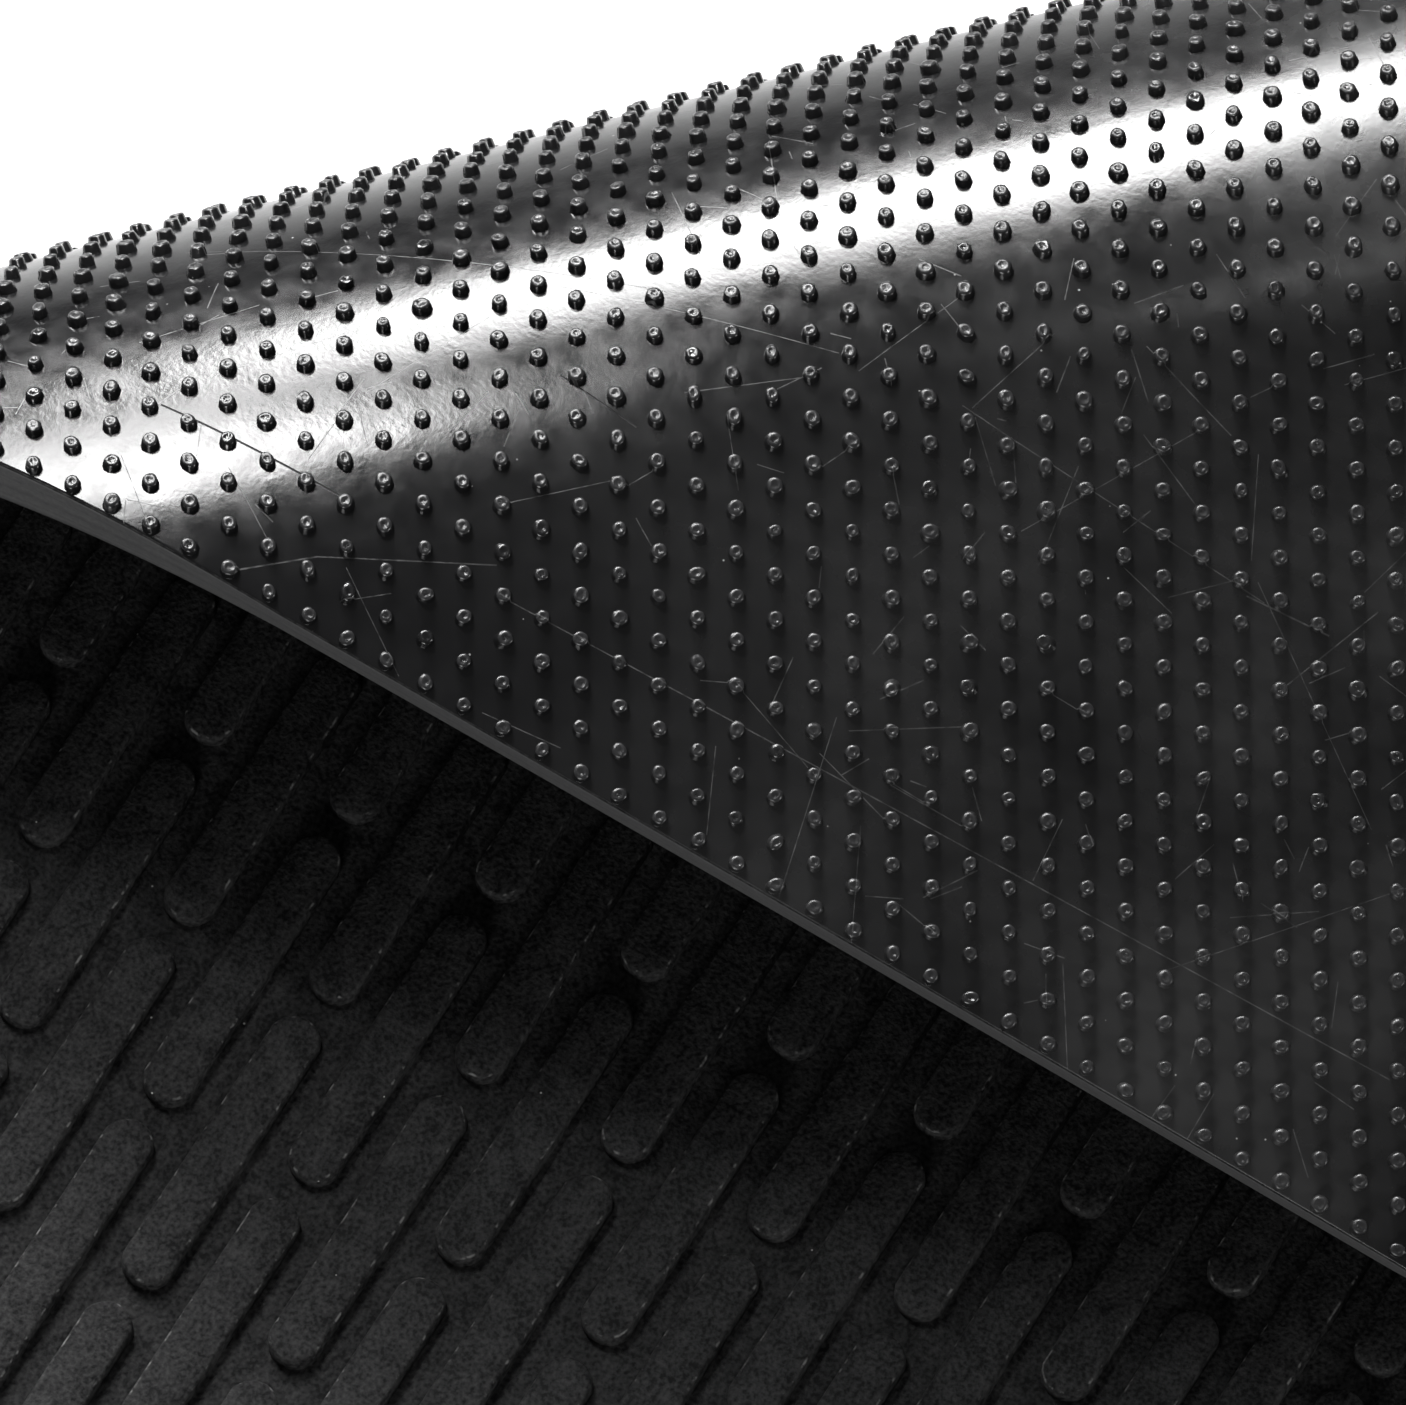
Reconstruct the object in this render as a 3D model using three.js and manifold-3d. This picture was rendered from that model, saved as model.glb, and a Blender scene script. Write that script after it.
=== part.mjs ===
// Rubber scraper mat, lying scraper side up with one corner turned over, so that its
// gripper underside shows. One moulded solid, in millimetres, X long, Y short, Z up,
// origin on the floor under the middle of the mat.
//
// The mat is built flat, cut along the straight lines it bends on, and each strip
// between two of those lines is then laid into its place in the fold.
import * as THREE from 'three';
import { mergeVertices } from 'three/addons/utils/BufferGeometryUtils.js';
import Module from 'manifold-3d';

const wasm = await Module();
wasm.setup();

// Outline, the mat as sold
const matLength = 914.4;
const matWidth = 609.6;

// Layers of the section, from the floor up
const nubHeight = 2;
const baseThickness = 7.7;
const barHeight = 3;

// Edge of the moulded sheet: its chamfer, the raised rim round the bars, and how
// far the outermost nubs stay inside the edge
const edgeChamfer = 0.8;
const rimWidth = 15;
const nubFieldInset = 1;

// Scraper bars, in running bond along the length of the mat
const barLength = 59.7;
const barWidth = 10.2;
const barPitchAlong = 64.8;
const barPitchAcross = 15.3;
const borderToBars = 20;
const barFieldShift = 2.5;

// Turned corner: where the fold starts on the long and on the short side
const turnedAlongLength = 544;
const turnedAlongWidth = 532.7;

// Bend of the turned corner at mid thickness: a tight roll behind, a wider crest, a
// nearly flat flap, and a tip that droops until it all but touches the mat
const rollRadius = 26;
const rollAngle = THREE.MathUtils.degToRad(118);
const crestRadius = 87;
const crestAngle = THREE.MathUtils.degToRad(74.3);
const flapRadius = 1268;
const flapLength = 160;
const tipClearance = 0.5;

// Flat facets that each part of the bend is made of
const rollFacets = 4;
const crestFacets = 4;
const flapFacets = 1;
const tipFacets = 2;

const colour = '#161718';
const roughness = 0.55;
const metalness = 0;

// Derived sizes
const baseTop = nubHeight + baseThickness;
const barTop = baseTop + barHeight;
const bendLevel = nubHeight + (baseThickness + barHeight) / 2;

// How deep the bars and the nub layer reach into the sheet that they are joined to
const rootDepth = baseThickness / 2;

// Points closer than the first are one point, and steps lower than the second are flat
const smallestDetail = 0.004;
const flatTolerance = 0.05;

// The range in which the tip's droop is looked for, and how often the range is halved
const leastTipTurn = THREE.MathUtils.degToRad(1);
const mostTipTurn = THREE.MathUtils.degToRad(80);
const halvings = 40;

// Turns a three.js geometry into a closed solid that can be joined and cut.
function toSolid(geometry) {
  const bare = geometry.clone();
  bare.deleteAttribute('normal');
  bare.deleteAttribute('uv');
  const welded = mergeVertices(bare, smallestDetail);
  return new wasm.Manifold(new wasm.Mesh({
    numProp: 3,
    vertProperties: new Float32Array(welded.attributes.position.array),
    triVerts: new Uint32Array(welded.index.array),
  }));
}

// A box that stands on a level, centred on a point of the plan.
function boxOn(level, length, width, height, x, y) {
  const box = new THREE.BoxGeometry(length, width, height);
  box.translate(x, y, level + height / 2);
  return box;
}

// The flat sheet with its chamfered edge: as high as the rim, and sunk inside the rim
// to the level that the bars stand on.
function sheetSolid() {
  const halfLength = matLength / 2 - edgeChamfer;
  const halfWidth = matWidth / 2 - edgeChamfer;
  const outline = new THREE.Shape();
  outline.moveTo(-halfLength, -halfWidth);
  outline.lineTo(halfLength, -halfWidth);
  outline.lineTo(halfLength, halfWidth);
  outline.lineTo(-halfLength, halfWidth);
  outline.closePath();
  const sheet = new THREE.ExtrudeGeometry(outline, {
    depth: baseThickness + barHeight - 2 * edgeChamfer,
    bevelEnabled: true,
    bevelThickness: edgeChamfer,
    bevelSize: edgeChamfer,
    bevelSegments: 1,
  });
  sheet.translate(0, 0, nubHeight + edgeChamfer);
  const length = matLength - 2 * rimWidth;
  const width = matWidth - 2 * rimWidth;
  return toSolid(sheet).subtract(toSolid(boxOn(baseTop, length, width, 2 * barHeight, 0, 0)));
}

// The layer of gripper nubs, kept as one solid pad as deep as the nubs are high.
function nubLayerSolid() {
  const length = matLength - 2 * nubFieldInset;
  const width = matWidth - 2 * nubFieldInset;
  return toSolid(boxOn(0, length, width, nubHeight + rootDepth, 0, 0));
}

// All scraper bars. Every second column is moved half a pitch along the mat,
// and a half bar fills the end that it leaves free.
function barSolids() {
  const halfPitch = barPitchAlong / 2;
  const endGap = barPitchAlong - barLength;
  const sideGap = barPitchAcross - barWidth;
  const halves = Math.floor((matLength - 2 * borderToBars + endGap) / halfPitch);
  const columns = Math.floor((matWidth - 2 * borderToBars + sideGap) / barPitchAcross);
  const firstX = -(halves * halfPitch - endGap) / 2;
  const firstY = barFieldShift - (columns - 1) * barPitchAcross / 2;
  const solids = [];
  for (let column = 0; column < columns; column += 1) {
    const y = firstY + column * barPitchAcross;
    for (let half = column % 2 - 1; half < halves; half += 2) {
      const from = Math.max(half, 0);
      const to = Math.min(half + 2, halves);
      const length = (to - from) * halfPitch - endGap;
      const x = firstX + from * halfPitch + length / 2;
      const bar = boxOn(baseTop - rootDepth, length, barWidth, rootDepth + barHeight, x, y);
      solids.push(toSolid(bar));
    }
  }
  return solids;
}

// Plan directions of the fold: along its start line, and across it towards the corner.
const foldStart = new THREE.Vector2(matLength / 2 - turnedAlongLength, matWidth / 2);
const alongFold = new THREE.Vector2(turnedAlongLength, -turnedAlongWidth).normalize();
const acrossFold = new THREE.Vector2(turnedAlongWidth, turnedAlongLength).normalize();
const turnedDepth = turnedAlongLength * acrossFold.x;

// The lines the mat bends on, for a tip that droops by a further angle. Each has its
// distance from the start of the fold, its place across the fold and up, and the
// angle the sheet has turned by there.
function bendLines(tipTurn) {
  const lines = [{ distance: 0, across: 0, up: bendLevel, angle: 0 }];
  const tipLength = turnedDepth - rollRadius * rollAngle - crestRadius * crestAngle - flapLength;
  const arcs = [
    { radius: rollRadius, turn: rollAngle, facets: rollFacets },
    { radius: crestRadius, turn: crestAngle, facets: crestFacets },
    { radius: flapRadius, turn: flapLength / flapRadius, facets: flapFacets },
    { radius: tipLength / tipTurn, turn: tipTurn, facets: tipFacets },
  ];
  for (const arc of arcs) {
    const start = lines[lines.length - 1];
    for (let facet = 1; facet <= arc.facets; facet += 1) {
      const turned = arc.turn * facet / arc.facets;
      const angle = start.angle + turned;
      lines.push({
        distance: start.distance + arc.radius * turned,
        across: start.across + arc.radius * (Math.sin(angle) - Math.sin(start.angle)),
        up: start.up + arc.radius * (Math.cos(start.angle) - Math.cos(angle)),
        angle,
      });
    }
  }
  return lines;
}

// Where a point at a height in the flat mat comes to lie on one bend line.
function onBendLine(line, height) {
  const offset = height - bendLevel;
  return {
    across: line.across - offset * Math.sin(line.angle),
    up: line.up + offset * Math.cos(line.angle),
  };
}

// The bend lines of the fold whose tip comes to rest just over the bars.
function restingBendLines() {
  let least = leastTipTurn;
  let most = mostTipTurn;
  for (let step = 0; step < halvings; step += 1) {
    const middle = (least + most) / 2;
    const tip = onBendLine(bendLines(middle).at(-1), barTop);
    if (tip.up > barTop + tipClearance) {
      least = middle;
    } else {
      most = middle;
    }
  }
  return bendLines(least);
}

function distanceFromFold(x, y) {
  return (x - foldStart.x) * acrossFold.x + (y - foldStart.y) * acrossFold.y;
}

// Moves a point of the flat mat to its place in the folded mat.
function foldPoint(x, y, height, lines) {
  const distance = distanceFromFold(x, y);
  if (distance <= 0) {
    return [x, y, height];
  }
  let strip = 0;
  while (strip < lines.length - 2 && distance > lines[strip + 1].distance) {
    strip += 1;
  }
  const near = lines[strip];
  const far = lines[strip + 1];
  const share = (distance - near.distance) / (far.distance - near.distance);
  const from = onBendLine(near, height);
  const to = onBendLine(far, height);
  const across = THREE.MathUtils.lerp(from.across, to.across, share);
  const up = THREE.MathUtils.lerp(from.up, to.up, share);
  const along = (x - foldStart.x) * alongFold.x + (y - foldStart.y) * alongFold.y;
  return [
    foldStart.x + along * alongFold.x + across * acrossFold.x,
    foldStart.y + along * alongFold.y + across * acrossFold.y,
    up,
  ];
}

// Cuts every triangle that crosses a bend line, keeping shared edges shared.
function cutAlongLine(points, triangles, distance) {
  const sides = points.map((point) => {
    const beyond = distanceFromFold(point[0], point[1]) - distance;
    return Math.abs(beyond) < smallestDetail ? 0 : beyond;
  });
  const cuts = new Map();
  const cutEdge = (first, second) => {
    const low = Math.min(first, second);
    const high = Math.max(first, second);
    const key = `${low},${high}`;
    if (!cuts.has(key)) {
      const share = sides[low] / (sides[low] - sides[high]);
      const from = points[low];
      const to = points[high];
      cuts.set(key, points.length);
      points.push(from.map((value, axis) => THREE.MathUtils.lerp(value, to[axis], share)));
    }
    return cuts.get(key);
  };
  const result = [];
  for (const triangle of triangles) {
    let corners = triangle;
    const signs = corners.map((corner) => Math.sign(sides[corner]));
    if (!signs.includes(1) || !signs.includes(-1)) {
      result.push(corners);
      continue;
    }
    const lone = signs.includes(0)
      ? signs.indexOf(0)
      : signs.findIndex((sign, at) => sign !== signs[(at + 1) % 3] && sign !== signs[(at + 2) % 3]);
    corners = [corners[lone], corners[(lone + 1) % 3], corners[(lone + 2) % 3]];
    const [head, left, right] = corners;
    if (signs[lone] === 0) {
      const middle = cutEdge(left, right);
      result.push([head, left, middle], [head, middle, right]);
    } else {
      const toLeft = cutEdge(head, left);
      const toRight = cutEdge(head, right);
      result.push([head, toLeft, toRight], [toLeft, left, right], [toLeft, right, toRight]);
    }
  }
  return result;
}

// The whole mat, folded.
function foldedMat() {
  const parts = [sheetSolid(), nubLayerSolid(), ...barSolids()];
  const flat = wasm.Manifold.union(parts).getMesh();
  const points = [];
  for (let vertex = 0; vertex < flat.numVert; vertex += 1) {
    points.push(Array.from(flat.vertProperties.slice(vertex * 3, vertex * 3 + 3)));
  }
  let triangles = [];
  for (let triangle = 0; triangle < flat.numTri; triangle += 1) {
    triangles.push(Array.from(flat.triVerts.slice(triangle * 3, triangle * 3 + 3)));
  }
  const lines = restingBendLines();
  for (const line of lines.slice(0, -1)) {
    triangles = cutAlongLine(points, triangles, line.distance);
  }
  const folded = points.flatMap(([x, y, height]) => foldPoint(x, y, height, lines));
  return new wasm.Manifold(new wasm.Mesh({
    numProp: 3,
    vertProperties: new Float32Array(folded),
    triVerts: new Uint32Array(triangles.flat()),
  })).simplify(flatTolerance);
}

// Turns a solid back into a three.js mesh.
function toMesh(solid, name, material) {
  const mesh = solid.getMesh();
  const geometry = new THREE.BufferGeometry();
  geometry.setAttribute('position', new THREE.BufferAttribute(mesh.vertProperties, 3));
  geometry.setIndex(new THREE.BufferAttribute(mesh.triVerts, 1));
  geometry.computeVertexNormals();
  const result = new THREE.Mesh(geometry, material);
  result.name = name;
  return result;
}

const mouldedRubber = new THREE.MeshStandardMaterial({ color: colour, roughness, metalness });
mouldedRubber.name = 'moulded_rubber';

const group = new THREE.Group();
group.name = 'rubber_scraper_mat';
group.add(toMesh(foldedMat(), 'scraper_mat', mouldedRubber));

export default group;
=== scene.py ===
import math

import bmesh
import bpy
import numpy as np
from mathutils import Matrix, Vector


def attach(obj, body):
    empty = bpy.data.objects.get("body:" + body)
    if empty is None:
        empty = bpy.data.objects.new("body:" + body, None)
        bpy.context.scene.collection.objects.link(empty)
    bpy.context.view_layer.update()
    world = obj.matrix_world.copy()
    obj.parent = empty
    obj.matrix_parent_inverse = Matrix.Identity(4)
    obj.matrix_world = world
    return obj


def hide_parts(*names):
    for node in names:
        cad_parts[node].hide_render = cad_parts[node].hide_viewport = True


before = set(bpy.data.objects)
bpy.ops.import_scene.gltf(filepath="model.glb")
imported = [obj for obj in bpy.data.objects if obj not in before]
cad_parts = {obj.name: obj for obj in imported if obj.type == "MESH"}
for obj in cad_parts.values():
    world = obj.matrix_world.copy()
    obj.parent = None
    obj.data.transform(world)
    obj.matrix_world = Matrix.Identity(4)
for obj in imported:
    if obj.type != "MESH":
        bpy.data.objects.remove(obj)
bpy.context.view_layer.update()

MM = 0.001

# Outline and section of the mat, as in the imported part
MAT_LENGTH = 914.4 * MM
MAT_WIDTH = 609.6 * MM
NUB_HEIGHT = 2.0 * MM
BASE_THICKNESS = 7.7 * MM
BAR_HEIGHT = 3.0 * MM
EDGE_CHAMFER = 0.8 * MM
RIM_WIDTH = 15 * MM
BASE_TOP = NUB_HEIGHT + BASE_THICKNESS
BAR_TOP = BASE_TOP + BAR_HEIGHT
BEND_LEVEL = NUB_HEIGHT + (BASE_THICKNESS + BAR_HEIGHT) / 2

# Scraper bars in running bond
BAR_LENGTH = 59.7 * MM
BAR_WIDTH = 10.2 * MM
BAR_PITCH_ALONG = 64.8 * MM
BAR_PITCH_ACROSS = 15.3 * MM
BORDER_TO_BARS = 20 * MM
BAR_FIELD_SHIFT = 2.5 * MM
BAR_ROOT = 0.4 * MM

# Form of one bar: corners of its round ends, how much its top is narrowed and shortened,
# the rounding of its top edge, and into how many pieces it is cut where the mat bends
BAR_END_SEGMENTS = 24
BAR_TOP_WIDTH_SHARE = 0.965
BAR_TOP_SHORTENING = 0.18 * MM
BAR_TOP_ROUNDING = 0.55 * MM
BENT_BAR_CUTS = 18

# Slope of the rim's inner side, rounding of the mat's corners in plan
RIM_SLOPE = 0.5 * MM
CORNER_RADIUS = 5 * MM

# Which material of the sheet each kind of face takes
UNDERSIDE = 0
SCRAPER_SIDE = 1
SIDE_WALL = 2

# Gripper nubs of the underside, in rows along the long edges
NUB_PITCH = 8.0 * MM
NUB_ROW_PITCH = NUB_PITCH * math.sqrt(3) / 2
NUB_TOP_RADIUS = 1.34 * MM
NUB_ROOT_RADIUS = 1.72 * MM
NUB_ROOT = 0.25 * MM
NUB_ROUNDING = 0.42 * MM
NUB_TOP_RING = 0.2 * MM
NUB_DENT_SLOPE = 0.35 * MM
NUB_DENT_DEPTH = 0.16 * MM
NUB_EDGE_MARGIN = 0.6 * MM
NUB_UNEVENNESS = 0.05 * MM
WORN_NUB_SHARE = 0.12
FIRST_NUB_ROW = 2.34 * MM
FIRST_NUB_X = 283.45 * MM

# Wear marks of the underside as the picture shows them: start and end in the flat mat,
# in millimetres from its middle, and width in millimetres
LIGHT_SCRATCHES = [
    ((139.1, 302.9), (151.6, 292.4), 0.35),
    ((151.6, 292.4), (179.7, 277.3), 0.30),
    ((182.9, 281.9), (363.0, 276.8), 0.28),
    ((297.8, 214.4), (314.1, 213.2), 0.35),
    ((312.0, 224.8), (319.5, 205.0), 0.30),
    ((260.2, 184.2), (281.0, 190.5), 0.25),
]
DARK_SCRATCHES = [
    ((112.7, 280.1), (149.6, 280.7), 0.45),
    ((172.5, 241.1), (189.2, 243.1), 0.35),
]

# Where along the mat the grey haze of the underside begins and where it is full
HAZE_BEGINS_X = 160 * MM
HAZE_FULL_X = 360 * MM

# The turned corner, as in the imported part
TURNED_ALONG_LENGTH = 544 * MM
TURNED_ALONG_WIDTH = 532.7 * MM
ROLL_RADIUS = 26 * MM
ROLL_ANGLE = math.radians(118)
CREST_RADIUS = 87 * MM
CREST_ANGLE = math.radians(74.3)
FLAP_RADIUS = 1268 * MM
FLAP_LENGTH = 160 * MM
TIP_CLEARANCE = 0.5 * MM

# Flat pieces that the sheet is cut into along the roll, the crest, the flap and the tip
BEND_PIECES = (36, 30, 14, 12)

FOLD_START = np.array([MAT_LENGTH / 2 - TURNED_ALONG_LENGTH, MAT_WIDTH / 2])
LEG = math.hypot(TURNED_ALONG_LENGTH, TURNED_ALONG_WIDTH)
ALONG_FOLD = np.array([TURNED_ALONG_LENGTH, -TURNED_ALONG_WIDTH]) / LEG
ACROSS_FOLD = np.array([TURNED_ALONG_WIDTH, TURNED_ALONG_LENGTH]) / LEG
TURNED_DEPTH = TURNED_ALONG_LENGTH * ACROSS_FOLD[0]
TIP_LENGTH = TURNED_DEPTH - ROLL_RADIUS * ROLL_ANGLE - CREST_RADIUS * CREST_ANGLE - FLAP_LENGTH

# Where the photograph was taken from: the look direction in plan from +X, the height of
# the camera over the floor, its roll, its distance, and the point it looks at
LOOK_ANGLE = math.radians(33.33)
CAMERA_ELEVATION = math.radians(65.4)
CAMERA_ROLL = math.radians(-2.59)
CAMERA_DISTANCE = 7.529
CAMERA_TARGET = Vector((0.0431, 0.0836, 0))
PICTURE_WIDTH = 1406
PIXELS_PER_METRE = 5543

# The floor: half its side, and how far it stays below the mat's underside
FLOOR_HALF_SIDE = 6
FLOOR_DROP = 0.5 * MM


def fold_arcs(tip_turn):
    """The arcs of the fold: radius and turn of each, from the start of the fold on."""
    return [
        (ROLL_RADIUS, ROLL_ANGLE),
        (CREST_RADIUS, CREST_ANGLE),
        (FLAP_RADIUS, FLAP_LENGTH / FLAP_RADIUS),
        (TIP_LENGTH / tip_turn, tip_turn),
    ]


def along_fold_curve(distance, arcs):
    """Place across the fold, height, and turned angle at distances from its start."""
    across = np.minimum(distance, 0.0)
    up = np.full(distance.shape, BEND_LEVEL)
    angle = np.zeros(distance.shape)
    start = 0.0
    turned = 0.0
    start_across = 0.0
    start_up = BEND_LEVEL
    for number, (radius, turn) in enumerate(arcs):
        here = distance > start
        now = turned + (distance[here] - start) / radius
        if number < len(arcs) - 1:
            now = np.minimum(now, turned + turn)
        angle[here] = now
        across[here] = start_across + radius * (np.sin(now) - math.sin(turned))
        up[here] = start_up + radius * (math.cos(turned) - np.cos(now))
        start_across += radius * (math.sin(turned + turn) - math.sin(turned))
        start_up += radius * (math.cos(turned) - math.cos(turned + turn))
        turned += turn
        start += radius * turn
    return across, up, angle


def resting_tip_turn():
    """The further angle that brings the tip down until it all but touches the bars."""
    least = math.radians(1)
    most = math.radians(80)
    for _ in range(40):
        middle = (least + most) / 2
        _, up, angle = along_fold_curve(np.array([TURNED_DEPTH]), fold_arcs(middle))
        tip = up[0] + (BAR_TOP - BEND_LEVEL) * math.cos(angle[0])
        if tip > BAR_TOP + TIP_CLEARANCE:
            least = middle
        else:
            most = middle
    return least


ARCS = fold_arcs(resting_tip_turn())


def fold_distance(points):
    """How far points of the flat mat lie beyond the start of the fold."""
    return (points[:, :2] - FOLD_START) @ ACROSS_FOLD


def fold_points(points):
    """Moves points of the flat mat to their places in the folded mat."""
    distance = fold_distance(points)
    along = (points[:, :2] - FOLD_START) @ ALONG_FOLD
    across, up, angle = along_fold_curve(distance, ARCS)
    offset = points[:, 2] - BEND_LEVEL
    across = across - offset * np.sin(angle)
    plan = FOLD_START + along[:, None] * ALONG_FOLD + across[:, None] * ACROSS_FOLD
    return np.column_stack([plan, up + offset * np.cos(angle)])


def fold_mesh(mesh):
    """Keeps each point's flat place as an attribute, then folds the mesh."""
    flat = np.empty(len(mesh.vertices) * 3)
    mesh.vertices.foreach_get("co", flat)
    attribute = mesh.attributes.new("flat_place", "FLOAT_VECTOR", "POINT")
    attribute.data.foreach_set("vector", flat)
    mesh.vertices.foreach_set("co", fold_points(flat.reshape(-1, 3)).ravel())
    mesh.update()


def make_piece(name, mesh, sharp_degrees=40):
    """A shaded object of the mat that rides on its one body."""
    mesh.shade_smooth()
    mesh.set_sharp_from_angle(angle=math.radians(sharp_degrees))
    piece = bpy.data.objects.new(name, mesh)
    bpy.context.scene.collection.objects.link(piece)
    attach(piece, "root")
    return piece


def cut_across_fold(work, distances):
    """Cuts a flat bmesh along lines that run parallel to the start of the fold."""
    normal = Vector((ACROSS_FOLD[0], ACROSS_FOLD[1], 0))
    for distance in distances:
        place = FOLD_START + ACROSS_FOLD * distance
        everything = work.verts[:] + work.edges[:] + work.faces[:]
        bmesh.ops.bisect_plane(
            work, geom=everything, dist=1e-7, plane_co=(place[0], place[1], 0), plane_no=normal
        )


def bend_cuts():
    """Distances from the start of the fold at which the sheet is cut to bend smoothly."""
    distances = [0.0]
    for (radius, turn), pieces in zip(ARCS, BEND_PIECES):
        start = distances[-1]
        distances += [start + radius * turn * part / pieces for part in range(1, pieces + 1)]
    return distances[:-1]


# The pieces of the mat


def build_sheet():
    """The moulded sheet with its raised rim and rounded corners, folded."""
    work = bmesh.new()
    bmesh.ops.create_cube(work, size=1)
    height = BAR_TOP - NUB_HEIGHT
    size = Matrix.Diagonal((MAT_LENGTH, MAT_WIDTH, height, 1))
    bmesh.ops.transform(work, matrix=size, verts=work.verts)
    bmesh.ops.translate(work, vec=(0, 0, NUB_HEIGHT + height / 2), verts=work.verts)
    top = [face for face in work.faces if face.normal.z > 0.9]
    bmesh.ops.inset_region(work, faces=top, thickness=RIM_WIDTH, use_even_offset=True)
    bmesh.ops.inset_region(
        work, faces=top, thickness=RIM_SLOPE, depth=-BAR_HEIGHT, use_even_offset=True
    )
    corners = [
        edge
        for edge in work.edges
        if abs(edge.verts[0].co.z - edge.verts[1].co.z) > height / 2
    ]
    bmesh.ops.bevel(
        work, geom=corners, offset=CORNER_RADIUS, segments=6, profile=0.5, affect="EDGES"
    )
    outline = [edge for edge in work.edges if edge.is_manifold and edge.calc_face_angle(0) > 1]
    bmesh.ops.bevel(
        work, geom=outline, offset=EDGE_CHAMFER, segments=3, profile=0.5, affect="EDGES"
    )
    cut_across_fold(work, bend_cuts())
    for face in work.faces:
        level = face.calc_center_median().z
        if level < NUB_HEIGHT + 0.1 * MM:
            face.material_index = UNDERSIDE
        elif abs(face.normal.z) < 0.7 and level < BASE_TOP:
            face.material_index = SIDE_WALL
        else:
            face.material_index = SCRAPER_SIDE
    mesh = bpy.data.meshes.new("mat_sheet")
    work.to_mesh(mesh)
    work.free()
    fold_mesh(mesh)
    return make_piece("mat_sheet", mesh)


def bar_template(length, cuts):
    """One flat-topped scraper bar with round ends, its middle at the origin."""
    work = bmesh.new()
    radius = BAR_WIDTH / 2
    bmesh.ops.create_circle(work, cap_ends=True, segments=BAR_END_SEGMENTS, radius=radius)
    straight = length / 2 - radius
    for vertex in work.verts:
        vertex.co.x += math.copysign(straight, vertex.co.x) if abs(vertex.co.x) > 1e-7 else 0
    ends = [v for v in work.verts if abs(v.co.x) < 1e-7]
    bmesh.ops.delete(work, geom=ends, context="VERTS")
    bmesh.ops.contextual_create(work, geom=work.verts[:])
    base = work.faces[:]
    grown = bmesh.ops.extrude_face_region(work, geom=base)
    raised = [v for v in grown["geom"] if isinstance(v, bmesh.types.BMVert)]
    bmesh.ops.translate(work, vec=(0, 0, BAR_HEIGHT + BAR_ROOT), verts=raised)
    for vertex in raised:
        vertex.co.y *= BAR_TOP_WIDTH_SHARE
        vertex.co.x -= math.copysign(BAR_TOP_SHORTENING, vertex.co.x)
    bmesh.ops.recalc_face_normals(work, faces=work.faces)
    rim = [e for e in work.edges if all(v in raised for v in e.verts)]
    bmesh.ops.bevel(
        work, geom=rim, offset=BAR_TOP_ROUNDING, segments=2, profile=0.5, affect="EDGES"
    )
    for cut in range(1, cuts):
        place = (-length / 2 + length * cut / cuts, 0, 0)
        everything = work.verts[:] + work.edges[:] + work.faces[:]
        bmesh.ops.bisect_plane(work, geom=everything, dist=1e-7, plane_co=place, plane_no=(1, 0, 0))
    if cuts > 1:
        everything = work.verts[:] + work.edges[:] + work.faces[:]
        bmesh.ops.bisect_plane(
            work, geom=everything, dist=1e-7, plane_co=(0, 0, 0), plane_no=(0, 1, 0)
        )
    bmesh.ops.triangulate(work, faces=[f for f in work.faces if len(f.verts) > 4])
    return mesh_arrays(work)


def mesh_arrays(work):
    """Points and faces of a bmesh as arrays, for laying out many copies."""
    bmesh.ops.triangulate(work, faces=work.faces)
    work.verts.index_update()
    points = np.array([v.co[:] for v in work.verts])
    faces = np.array([[v.index for v in f.verts] for f in work.faces])
    work.free()
    return points, faces


def lay_out(name, template, places, scales=None, turns=None, leans=None, roughening=0.0):
    """One mesh of many copies of a template, each with its own place, scale, turn and lean."""
    points, faces = template
    count = len(places)
    scales = np.ones((count, 3)) if scales is None else scales
    turns = np.zeros(count) if turns is None else turns
    leans = np.zeros((count, 2)) if leans is None else leans
    cos = np.cos(turns)[:, None]
    sin = np.sin(turns)[:, None]
    scaled = points[None] * scales[:, None]
    up = scaled[:, :, 2]
    x = scaled[:, :, 0] * cos - scaled[:, :, 1] * sin + leans[:, :1] * up
    y = scaled[:, :, 0] * sin + scaled[:, :, 1] * cos + leans[:, 1:] * up
    random = np.random.default_rng(len(name) + count)
    copies = np.stack([x, y, up], axis=2) + places[:, None]
    copies[:, :, :2] += random.normal(0, 1, copies[:, :, :2].shape) * roughening
    copies[:, :, 2] += np.abs(random.normal(0, 1, copies.shape[:2])) * roughening
    indices = faces[None] + (np.arange(count) * len(points))[:, None, None]
    mesh = bpy.data.meshes.new(name)
    total = copies.reshape(-1, 3)
    corners = indices.reshape(-1)
    mesh.vertices.add(len(total))
    mesh.vertices.foreach_set("co", total.ravel())
    mesh.loops.add(len(corners))
    mesh.loops.foreach_set("vertex_index", corners)
    mesh.polygons.add(len(corners) // 3)
    mesh.polygons.foreach_set("loop_start", np.arange(0, len(corners), 3))
    mesh.update(calc_edges=True)
    return mesh


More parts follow.
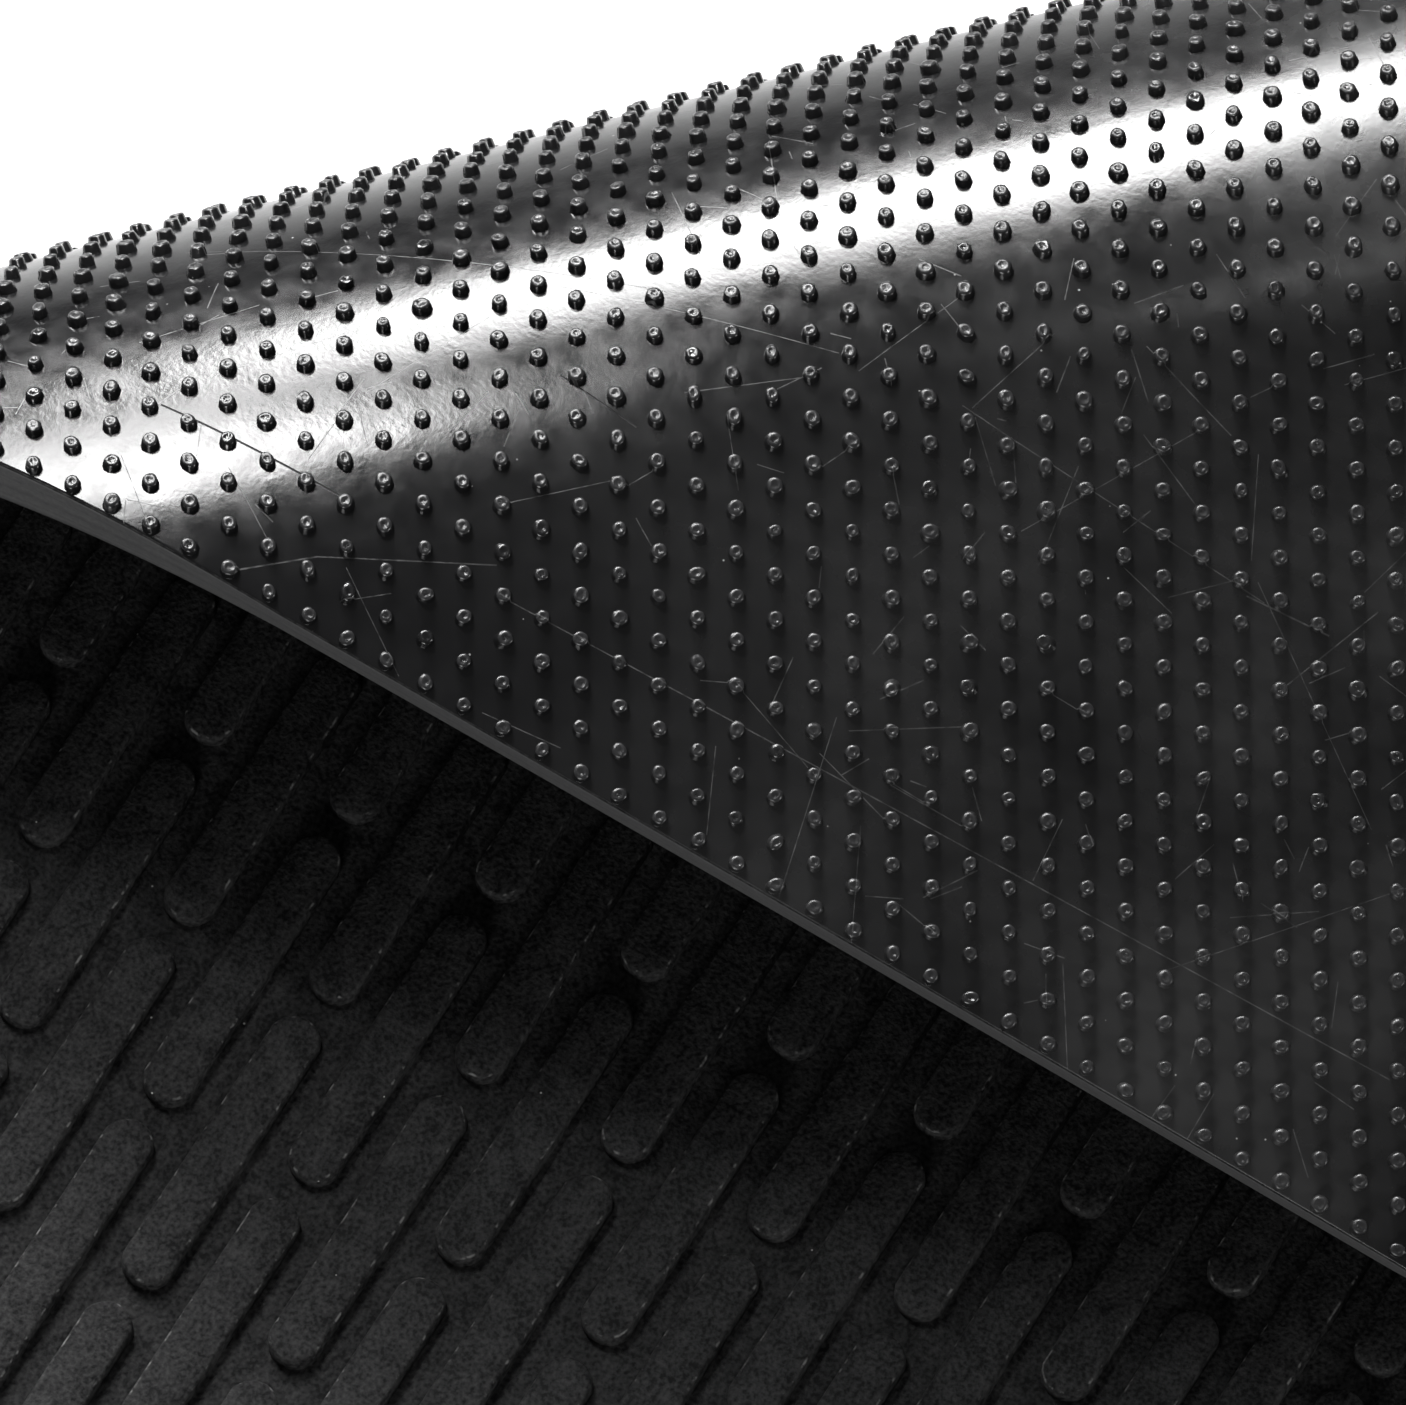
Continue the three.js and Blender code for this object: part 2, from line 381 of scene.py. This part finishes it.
def bar_places():
    """Middles and lengths of all bars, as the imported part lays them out."""
    half = BAR_PITCH_ALONG / 2
    end_gap = BAR_PITCH_ALONG - BAR_LENGTH
    side_gap = BAR_PITCH_ACROSS - BAR_WIDTH
    halves = math.floor((MAT_LENGTH - 2 * BORDER_TO_BARS + end_gap) / half)
    columns = math.floor((MAT_WIDTH - 2 * BORDER_TO_BARS + side_gap) / BAR_PITCH_ACROSS)
    first_x = -(halves * half - end_gap) / 2
    first_y = BAR_FIELD_SHIFT - (columns - 1) * BAR_PITCH_ACROSS / 2
    places = []
    for column in range(columns):
        for start in range(column % 2 - 1, halves, 2):
            low = max(start, 0)
            high = min(start + 2, halves)
            length = (high - low) * half - end_gap
            x = first_x + low * half + length / 2
            places.append((x, first_y + column * BAR_PITCH_ACROSS, BASE_TOP - BAR_ROOT, length))
    return np.array(places)


def build_bars():
    """All scraper bars: plain ones on the flat part, finely cut ones where the mat bends."""
    places = bar_places()
    reach = fold_distance(places) + BAR_LENGTH / 2
    pieces = []
    for length in np.unique(places[:, 3].round(7)):
        of_length = np.isclose(places[:, 3], length)
        kind = "long" if length > BAR_LENGTH * 0.75 else "short"
        for bent, cuts in ((False, 1), (True, BENT_BAR_CUTS)):
            chosen = places[of_length & ((reach > 0) == bent)][:, :3]
            name = f"bars_{kind}_{'bent' if bent else 'flat'}"
            mesh = lay_out(name, bar_template(length, cuts), chosen)
            fold_mesh(mesh)
            pieces.append(make_piece(name, mesh, 50))
    return pieces


def nub_template(segments, rings):
    """One gripper nub: its root at the origin's level, its flat top with a rounded edge below."""
    work = bmesh.new()
    depth = NUB_HEIGHT + NUB_ROOT
    bmesh.ops.create_cone(
        work,
        cap_ends=True,
        segments=segments,
        radius1=NUB_TOP_RADIUS,
        radius2=NUB_ROOT_RADIUS,
        depth=depth,
    )
    bmesh.ops.translate(work, vec=(0, 0, -depth / 2), verts=work.verts)
    tip = [edge for edge in work.edges if all(v.co.z < 1e-7 - depth for v in edge.verts)]
    bmesh.ops.bevel(
        work, geom=tip, offset=NUB_ROUNDING, segments=rings, profile=0.5, affect="EDGES"
    )
    if rings > 1:
        cap = [face for face in work.faces if face.normal.z < -0.99]
        bmesh.ops.inset_region(work, faces=cap, thickness=NUB_TOP_RING, use_even_offset=True)
        bmesh.ops.inset_region(
            work, faces=cap, thickness=NUB_DENT_SLOPE, depth=-NUB_DENT_DEPTH, use_even_offset=True
        )
    return mesh_arrays(work)


def nub_places():
    """Feet of all nubs that have room inside the edge, in the flat mat."""
    places = []
    margin = NUB_ROOT_RADIUS + NUB_EDGE_MARGIN
    level = NUB_HEIGHT + NUB_ROOT
    row = 0
    y = MAT_WIDTH / 2 - FIRST_NUB_ROW
    while y > -MAT_WIDTH / 2 + margin:
        shift = FIRST_NUB_X - (row % 2) * NUB_PITCH / 2
        first = math.ceil((-MAT_LENGTH / 2 + margin - shift) / NUB_PITCH)
        last = math.floor((MAT_LENGTH / 2 - margin - shift) / NUB_PITCH)
        places += [(shift + number * NUB_PITCH, y, level) for number in range(first, last + 1)]
        y -= NUB_ROW_PITCH
        row += 1
    return np.array(places)


def build_nubs():
    """All nubs of the underside: fine ones where it is turned up, plain ones on the floor."""
    places = nub_places()
    distance = fold_distance(places)
    random = np.random.default_rng(7)
    turned_up = distance > 0
    middle = np.median(distance[turned_up])
    halfway = places[:, 0] > np.median(places[~turned_up, 0])
    groups = [
        ("nubs_on_crest", turned_up & (distance <= middle), 12, 2),
        ("nubs_on_flap", turned_up & (distance > middle), 12, 2),
        ("nubs_underneath_left", ~turned_up & ~halfway, 8, 1),
        ("nubs_underneath_right", ~turned_up & halfway, 8, 1),
    ]
    pieces = []
    for name, chosen, segments, rings in groups:
        here = places[chosen]
        count = len(here)
        worn = random.random(count) < WORN_NUB_SHARE
        scales = np.ones((count, 3))
        scales[:, 0] = random.normal(1, 0.07, count)
        scales[:, 1] = random.normal(1, 0.07, count)
        moulded_short = np.abs(random.normal(0, 0.03, count))
        worn_short = worn * random.uniform(0, 0.15, count)
        scales[:, 2] = 1 - moulded_short - worn_short
        leans = random.normal(0, 0.04, (count, 2)) * (1 + 2 * worn[:, None])
        turns = random.uniform(0, math.pi, count)
        roughening = NUB_UNEVENNESS if rings > 1 else 0.0
        template = nub_template(segments, rings)
        mesh = lay_out(name, template, here, scales, turns, leans, roughening)
        fold_mesh(mesh)
        pieces.append(make_piece(name, mesh, 60))
    return pieces


# The rubber and its surfaces


def linear(hex_colour):
    """A linear colour from an sRGB hex value."""
    channels = [int(hex_colour[at : at + 2], 16) / 255 for at in (1, 3, 5)]
    bent = [c / 12.92 if c <= 0.04045 else ((c + 0.055) / 1.055) ** 2.4 for c in channels]
    return (*bent, 1.0)


def add_node(tree, kind, links=None, **settings):
    """Adds a node, sets its properties, and sets or links its inputs."""
    node = tree.nodes.new(kind)
    for key, value in settings.items():
        setattr(node, key, value)
    for socket, value in (links or {}).items():
        if isinstance(value, bpy.types.NodeSocket):
            tree.links.new(value, node.inputs[socket])
        else:
            node.inputs[socket].default_value = value
    return node


def new_material(name):
    """A material with one shader, its node tree, and that shader."""
    material = bpy.data.materials.new(name)
    material.use_nodes = True
    tree = material.node_tree
    tree.nodes.clear()
    output = add_node(tree, "ShaderNodeOutputMaterial")
    shader = add_node(tree, "ShaderNodeBsdfPrincipled")
    tree.links.new(shader.outputs[0], output.inputs["Surface"])
    return material, tree, shader


def flat_place(tree):
    """Where a point lies in the flat mat, so that the surface bends with the mat."""
    return add_node(tree, "ShaderNodeAttribute", attribute_name="flat_place").outputs["Vector"]


def noise(tree, place, size, detail=2.0):
    """Noise with features of a real size."""
    links = {"Vector": place, "Scale": 1 / size, "Detail": detail}
    return add_node(tree, "ShaderNodeTexNoise", links).outputs[0]


def spread(tree, value, low, high, to_low, to_high):
    """A value's range, stretched onto another range and held inside it."""
    links = {"Value": value, "From Min": low, "From Max": high, "To Min": to_low, "To Max": to_high}
    return add_node(tree, "ShaderNodeMapRange", links).outputs[0]


def calculate(tree, operation, first, second=0.0):
    """One step of arithmetic on two values."""
    links = {0: first, 1: second}
    return add_node(tree, "ShaderNodeMath", links, operation=operation).outputs[0]


def blend(tree, share, below, above, kind="FLOAT"):
    """A number or colour that goes from one value to another with a share."""
    node = add_node(tree, "ShaderNodeMix", data_type=kind)
    sockets = [item for item in node.inputs if item.enabled]
    for socket, value in zip(sockets, (share, below, above)):
        if isinstance(value, bpy.types.NodeSocket):
            tree.links.new(value, socket)
        else:
            socket.default_value = value
    return [item for item in node.outputs if item.enabled][0]


def turned_place(tree, place, start, angle):
    """The flat place measured from a start, along and across a direction."""
    moved = add_node(
        tree, "ShaderNodeVectorMath", {0: place, 1: (start[0], start[1], 0)}, operation="SUBTRACT"
    ).outputs[0]
    links = {"Vector": moved, "Angle": -angle}
    return add_node(tree, "ShaderNodeVectorRotate", links, rotation_type="Z_AXIS").outputs[0]


def scratch(tree, place, start, end, width):
    """A share that is one along a straight scratch, its ends and width in millimetres."""
    start = np.array(start) * MM
    end = np.array(end) * MM
    width = width * MM
    angle = math.atan2(end[1] - start[1], end[0] - start[0])
    local = turned_place(tree, place, start, angle)
    axes = add_node(tree, "ShaderNodeSeparateXYZ", {0: local})
    off_line = calculate(tree, "ABSOLUTE", axes.outputs[1])
    near = spread(tree, off_line, width / 4, width / 2, 1.0, 0.0)
    after_start = calculate(tree, "GREATER_THAN", axes.outputs[0], 0.0)
    before_end = calculate(tree, "LESS_THAN", axes.outputs[0], math.dist(start, end))
    return calculate(tree, "MULTIPLY", near, calculate(tree, "MULTIPLY", after_start, before_end))


def scattered_scratches(tree, place, spacing, width, rarity):
    """A share that is one on straight scratches, one in a few of the cells of a random net."""
    cells = add_node(
        tree, "ShaderNodeTexVoronoi", {"Vector": place, "Scale": 1 / spacing}, voronoi_dimensions="2D"
    )
    chance = add_node(tree, "ShaderNodeSeparateColor", {0: cells.outputs["Color"]}).outputs
    middle = cells.outputs["Position"]
    from_middle = add_node(
        tree, "ShaderNodeVectorMath", {0: place, 1: middle}, operation="SUBTRACT"
    ).outputs[0]
    angle = calculate(tree, "MULTIPLY", chance[0], 2 * math.pi)
    links = {"Vector": from_middle, "Angle": angle}
    local = add_node(tree, "ShaderNodeVectorRotate", links, rotation_type="Z_AXIS").outputs[0]
    axes = add_node(tree, "ShaderNodeSeparateXYZ", {0: local})
    off_line = calculate(tree, "ABSOLUTE", axes.outputs[1])
    near = spread(tree, off_line, width / 4, width / 2, 1.0, 0.0)
    from_end = calculate(tree, "ABSOLUTE", axes.outputs[0])
    reach = calculate(tree, "MULTIPLY", chance[1], spacing)
    within = calculate(tree, "LESS_THAN", from_end, reach)
    chosen = calculate(tree, "GREATER_THAN", chance[2], rarity)
    return calculate(tree, "MULTIPLY", near, calculate(tree, "MULTIPLY", within, chosen))


def specks(tree, place, spacing, radius, rarity):
    """A share that is one on small scattered grains of dust."""
    cells = add_node(tree, "ShaderNodeTexVoronoi", {"Vector": place, "Scale": 1 / spacing})
    near = spread(tree, cells.outputs["Distance"], radius / spacing / 2, radius / spacing, 1.0, 0.0)
    channels = add_node(tree, "ShaderNodeSeparateColor", {0: cells.outputs["Color"]})
    chosen = calculate(tree, "GREATER_THAN", channels.outputs[0], rarity)
    return calculate(tree, "MULTIPLY", near, chosen)


def gripper_rubber():
    """Black rubber from a smooth press plate.

    It gives the eye a glossy, nearly black skin that mirrors the softboxes, with worn
    greyer nub tops, long hairline scratches and a little dust.
    """
    material, tree, shader = new_material("smooth_pressed_rubber")
    place = flat_place(tree)
    axes = add_node(tree, "ShaderNodeSeparateXYZ", {0: place})
    nub_top = spread(tree, axes.outputs[2], 0.15 * MM, 0.5 * MM, 1.0, 0.0)
    bloom = spread(tree, axes.outputs[0], HAZE_BEGINS_X, HAZE_FULL_X, 0.0, 1.0)

    marks = scattered_scratches(tree, place, 90 * MM, 0.22 * MM, 0.25)
    for spacing, width, rarity in ((47, 0.2, 0.45), (19, 0.22, 0.6), (8, 0.25, 0.82)):
        more = scattered_scratches(tree, place, spacing * MM, width * MM, rarity)
        marks = calculate(tree, "MAXIMUM", marks, more)
    for line in LIGHT_SCRATCHES:
        marks = calculate(tree, "MAXIMUM", marks, scratch(tree, place, *line))
    broken = spread(tree, noise(tree, place, 2 * MM, 2), 0.35, 0.6, 0.2, 1.0)
    marks = calculate(tree, "MULTIPLY", marks, broken)
    dark = scratch(tree, place, *DARK_SCRATCHES[0])
    for line in DARK_SCRATCHES[1:]:
        dark = calculate(tree, "MAXIMUM", dark, scratch(tree, place, *line))
    dust = calculate(
        tree,
        "MAXIMUM",
        specks(tree, place, 5 * MM, 0.22 * MM, 0.72),
        specks(tree, place, 13 * MM, 0.5 * MM, 0.8),
    )

    haze = spread(tree, noise(tree, place, 45 * MM, 4), 0.3, 0.7, 0.1, 0.6)
    haze = calculate(tree, "MULTIPLY", haze, calculate(tree, "ADD", bloom, 0.1))
    colour = blend(tree, haze, linear("#0f0f10"), linear("#3e3e3e"), "RGBA")
    patchy = spread(tree, noise(tree, place, 0.8 * MM, 3), 0.3, 0.7, 0.35, 1.0)
    top_tone = calculate(tree, "MULTIPLY", nub_top, patchy)
    colour = blend(tree, top_tone, colour, linear("#29292a"), "RGBA")
    colour = blend(tree, calculate(tree, "MULTIPLY", marks, 0.3), colour, linear("#7a7a7a"), "RGBA")
    colour = blend(tree, calculate(tree, "MULTIPLY", dust, 0.7), colour, linear("#b5b5b3"), "RGBA")
    tree.links.new(colour, shader.inputs["Base Color"])

    rough = spread(tree, noise(tree, place, 6 * MM, 5), 0.3, 0.7, 0.12, 0.25)
    rough = blend(tree, haze, rough, 0.5)
    rough = blend(tree, calculate(tree, "MULTIPLY", nub_top, 0.6), rough, 0.4)
    rough = blend(tree, calculate(tree, "MAXIMUM", dust, dark), rough, 0.85)
    rough = blend(tree, marks, rough, 0.5)
    tree.links.new(rough, shader.inputs["Roughness"])

    height = calculate(
        tree,
        "ADD",
        noise(tree, place, 1.1 * MM, 4),
        calculate(tree, "MULTIPLY", noise(tree, place, 8 * MM, 2), 2.0),
    )
    height = calculate(tree, "SUBTRACT", height, calculate(tree, "MULTIPLY", dark, 2.0))
    links = {"Height": height, "Strength": 0.5, "Distance": 0.05 * MM}
    bump = add_node(tree, "ShaderNodeBump", links)
    tree.links.new(bump.outputs[0], shader.inputs["Normal"])
    return material


def scraper_rubber():
    """Black rubber from a sand-grained mould.

    It gives the eye a dull, granular grey-black, with a broken lighter line along the
    bars' top edges that is a painted highlight as well as wear, and light grit in the channels and on
    the bars.
    """
    material, tree, shader = new_material("grained_moulded_rubber")
    place = flat_place(tree)
    axes = add_node(tree, "ShaderNodeSeparateXYZ", {0: place})
    # A lighter line along the bars' top edges, broken up by noise: painted highlight, partly wear
    above = spread(tree, axes.outputs[2], BAR_TOP - 0.5 * MM, BAR_TOP - 0.2 * MM, 0.0, 1.0)
    below = spread(tree, axes.outputs[2], BAR_TOP - 0.12 * MM, BAR_TOP - 0.02 * MM, 1.0, 0.0)
    edge = calculate(tree, "MULTIPLY", above, below)
    worn = spread(tree, noise(tree, place, 2.5 * MM, 4), 0.56, 0.66, 0.0, 1.0)
    edge = calculate(tree, "MULTIPLY", edge, worn)
    grit = calculate(
        tree,
        "MAXIMUM",
        specks(tree, place, 7 * MM, 0.25 * MM, 0.7),
        specks(tree, place, 21 * MM, 0.55 * MM, 0.7),
    )

    fine = noise(tree, place, 0.9 * MM, 3)
    coarse = noise(tree, place, 4.5 * MM, 3)
    coarse_part = calculate(tree, "MULTIPLY", coarse, 0.35)
    fine_part = calculate(tree, "MULTIPLY", fine, 0.65)
    grain = calculate(tree, "ADD", coarse_part, fine_part)
    tone = spread(tree, grain, 0.38, 0.64, 0.0, 1.0)
    colour = blend(tree, tone, linear("#0d0d0e"), linear("#343434"), "RGBA")
    # Light grey on the bars' top edges: painted highlight, partly wear
    colour = blend(tree, calculate(tree, "MULTIPLY", edge, 0.6), colour, linear("#7d7d7c"), "RGBA")
    colour = blend(tree, calculate(tree, "MULTIPLY", grit, 0.8), colour, linear("#b0b0ad"), "RGBA")
    tree.links.new(colour, shader.inputs["Base Color"])
    tree.links.new(spread(tree, grain, 0.35, 0.65, 0.7, 0.9), shader.inputs["Roughness"])
    shader.inputs["Specular IOR Level"].default_value = 0.12
    links = {"Height": grain, "Strength": 1.0, "Distance": 0.4 * MM}
    bump = add_node(tree, "ShaderNodeBump", links)
    tree.links.new(bump.outputs[0], shader.inputs["Normal"])
    return material


def side_wall_rubber():
    """Black rubber that was trimmed with a knife after moulding.

    It gives the eye a plain mid-grey band along the edge, lighter than the rubber itself as painted
    light, with faint lines along it.
    """
    material, tree, shader = new_material("side_wall_rubber_painted_light")
    place = flat_place(tree)
    fine = noise(tree, place, 0.7 * MM, 3)
    axes = add_node(tree, "ShaderNodeSeparateXYZ", {0: place})
    links = {"W": axes.outputs[2], "Scale": 1 / (1.4 * MM), "Detail": 3.0}
    lines = add_node(tree, "ShaderNodeTexNoise", links, noise_dimensions="1D").outputs[0]
    fine_part = calculate(tree, "MULTIPLY", fine, 0.4)
    lines_part = calculate(tree, "MULTIPLY", lines, 0.6)
    tone = calculate(tree, "ADD", fine_part, lines_part)
    share = spread(tree, tone, 0.35, 0.65, 0.0, 1.0)
    # Mid-grey lighter than the rest of the rubber: painted light on the side wall
    colour = blend(tree, share, linear("#3c3c3d"), linear("#525252"), "RGBA")
    tree.links.new(colour, shader.inputs["Base Color"])
    shader.inputs["Roughness"].default_value = 0.62
    bump = add_node(tree, "ShaderNodeBump", {"Height": tone, "Strength": 0.3, "Distance": 0.1 * MM})
    tree.links.new(bump.outputs[0], shader.inputs["Normal"])
    return material


# The floor, the lights and the camera


def build_floor():
    """A plain pale floor just below the mat's underside."""
    work = bmesh.new()
    bmesh.ops.create_grid(work, x_segments=1, y_segments=1, size=FLOOR_HALF_SIDE)
    bmesh.ops.translate(work, vec=(0, 0, -FLOOR_DROP), verts=work.verts)
    mesh = bpy.data.meshes.new("studio_floor")
    work.to_mesh(mesh)
    work.free()
    floor = bpy.data.objects.new("studio_floor", mesh)
    bpy.context.scene.collection.objects.link(floor)
    material, tree, shader = new_material("pale_studio_paper")
    fibres = add_node(tree, "ShaderNodeTexNoise", {"Scale": 300}).outputs[0]
    tint = spread(tree, fibres, 0, 1, 0.88, 0.92)
    tree.links.new(tint, shader.inputs["Base Color"])
    shader.inputs["Roughness"].default_value = 0.9
    mesh.materials.append(material)
    return floor


def aim(thing, place, target):
    """Puts a light at a place, facing a target."""
    thing.location = place
    direction = Vector(target) - Vector(place)
    thing.rotation_euler = direction.to_track_quat("-Z", "Y").to_euler()


def from_view(right, away, up):
    """A place given as seen by the camera in plan: to its right, away from it, and up."""
    look = Vector((math.cos(LOOK_ANGLE), math.sin(LOOK_ANGLE), 0))
    side = Vector((math.sin(LOOK_ANGLE), -math.cos(LOOK_ANGLE), 0))
    return CAMERA_TARGET + side * right + look * away + Vector((0, 0, up))


def add_light(name, place, target, width, height, power, beam=180):
    """A softbox at a place, facing a target, with a grid that narrows its beam."""
    light = bpy.data.lights.new(name, "AREA")
    light.shape = "RECTANGLE"
    light.size = width
    light.size_y = height
    light.energy = power
    light.spread = math.radians(beam)
    thing = bpy.data.objects.new(name, light)
    bpy.context.scene.collection.objects.link(thing)
    aim(thing, place, target)
    return thing


def build_lights():
    """The lights: two softboxes behind that the crest mirrors, a strip close over the left,
    a lamp on the floor behind the crest, weak cards in front and at the right, a dim studio."""
    before_mat = from_view(0, -0.22, 0.05)
    add_light("softbox_behind", from_view(-0.14, 1.6, 1.28), before_mat, 0.7, 0.74, 3.2, 34)
    add_light("softbox_back_left", from_view(-1.05, 1.75, 0.8), before_mat, 0.6, 0.5, 1.9, 34)
    under_strip = from_view(-0.1, 0.064, 0.1)
    add_light("strip_over_left", from_view(-0.23, 0.35, 0.6), under_strip, 0.12, 0.32, 0.24, 40)
    behind_crest = from_view(0, 0.16, 0)
    add_light("floor_lamp", from_view(0, 0.17, 0.8), behind_crest, 0.6, 0.05, 0.22, 20)
    middle = from_view(0, 0, 0.05)
    add_light("card_in_front", from_view(-0.7, -1.7, 0.5), middle, 0.8, 0.5, 17)
    add_light("card_at_right", from_view(1.6, -0.9, 0.55), middle, 0.5, 0.4, 9)
    world = bpy.data.worlds.new("dim_studio")
    world.use_nodes = True
    background = world.node_tree.nodes["Background"]
    background.inputs["Color"].default_value = (1, 1, 1, 1)
    background.inputs["Strength"].default_value = 0.1
    bpy.context.scene.world = world
    bpy.context.scene.view_settings.view_transform = "Standard"


def build_camera():
    """The camera at the photograph's angle, far off with a long lens."""
    data = bpy.data.cameras.new("photo_camera")
    camera = bpy.data.objects.new("photo_camera", data)
    bpy.context.scene.collection.objects.link(camera)
    look = Vector((math.cos(LOOK_ANGLE), math.sin(LOOK_ANGLE), 0))
    to_camera = -look * math.cos(CAMERA_ELEVATION) + Vector((0, 0, math.sin(CAMERA_ELEVATION)))
    side = Vector((math.sin(LOOK_ANGLE), -math.cos(LOOK_ANGLE), 0))
    up = to_camera.cross(side)
    right_turned = side * math.cos(CAMERA_ROLL) + up * math.sin(CAMERA_ROLL)
    up_turned = up * math.cos(CAMERA_ROLL) - side * math.sin(CAMERA_ROLL)
    turn = Matrix((right_turned, up_turned, to_camera)).transposed()
    place = Matrix.Translation(CAMERA_TARGET + to_camera * CAMERA_DISTANCE)
    camera.matrix_world = place @ turn.to_4x4()
    data.sensor_width = 36
    data.lens = PIXELS_PER_METRE * CAMERA_DISTANCE / PICTURE_WIDTH * data.sensor_width
    data.clip_end = 40
    bpy.context.scene.camera = camera


sheet = build_sheet()
bars = build_bars()
nubs = build_nubs()
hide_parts("scraper_mat")

gripper = gripper_rubber()
scraper = scraper_rubber()
side_wall = side_wall_rubber()
sheet.data.materials.append(gripper)
sheet.data.materials.append(scraper)
sheet.data.materials.append(side_wall)
for piece in bars:
    piece.data.materials.append(scraper)
for piece in nubs:
    piece.data.materials.append(gripper)

build_floor()
build_lights()
build_camera()
